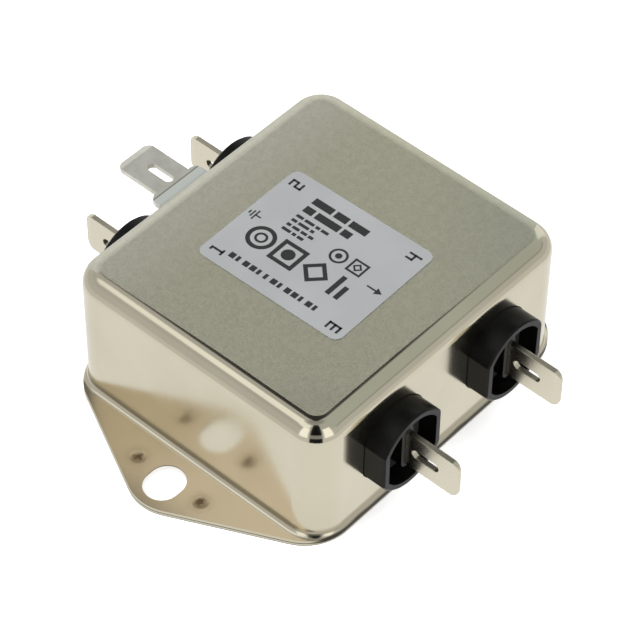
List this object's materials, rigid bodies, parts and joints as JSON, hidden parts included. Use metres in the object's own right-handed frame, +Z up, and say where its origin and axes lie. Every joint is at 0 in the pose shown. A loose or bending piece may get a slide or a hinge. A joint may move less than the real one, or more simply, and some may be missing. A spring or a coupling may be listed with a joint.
{
  "type": "emi line filter",
  "caption": "Chassis-mount EMI line filter: plated drawn can on a flange with slotted ears, blade tabs in round-flanked moulded shrouds and a riveted, bent earth tab.",
  "frame": {"origin": "midway between the two mounting slots, on the underside of the base plate, which is the face that sits on the chassis", "axes": "+X along the line through both mounting slots; +Y towards the line side, which carries the earth tab; +Z up, out of the labelled top"},
  "size_m": [0.0702, 0.0691, 0.0224],
  "materials": {
    "can_plating": "warm nickel plating: polished drawn walls, satin top",
    "plate_plating": "satin nickel-plated sheet",
    "label_film": "silver-grey matt film with printed bars and plain numbers",
    "shroud_plastic": "black moulded plastic, satin",
    "tab_plating": "nickel-plated brass, satin with coined edges",
    "earth_plating": "tin-plated steel, satin",
    "rivet_plating": "nickel-plated rivet",
    "tag_plating": "tinned brass",
    "card": "varnished insulating card",
    "resin": "dark casting resin",
    "ferrite": "sintered ferrite, dull",
    "case_nylon": "natural nylon",
    "wire_enamel": "enamelled copper wire",
    "box_capacitor": "moulded film-capacitor case",
    "disc_capacitor": "coated ceramic disc",
    "resistor_body": "coated resistor body"
  },
  "bodies": {
    "root": {"can": "can_plating", "base_plate": "plate_plating", "label": "label_film", "shroud_load_1": "shroud_plastic", "shroud_load_2": "shroud_plastic", "shroud_line_1": "shroud_plastic", "shroud_line_2": "shroud_plastic", "tab_load_1": "tab_plating", "tab_load_2": "tab_plating", "tab_line_1": "tab_plating", "tab_line_2": "tab_plating", "earth_tab": "earth_plating", "earth_rivet": "rivet_plating", "earth_tag": "tag_plating", "insulating_card": "card", "casting_resin": "resin", "core": "ferrite", "core_case": "case_nylon", "core_case_lid": "case_nylon", "winding_1": "wire_enamel", "winding_2": "wire_enamel", "winding_divider": "case_nylon", "x_capacitor_line": "box_capacitor", "x_capacitor_load": "box_capacitor", "y_capacitor_1": "disc_capacitor", "y_capacitor_2": "disc_capacitor", "bleed_resistor": "resistor_body"}
  },
  "joints": []
}
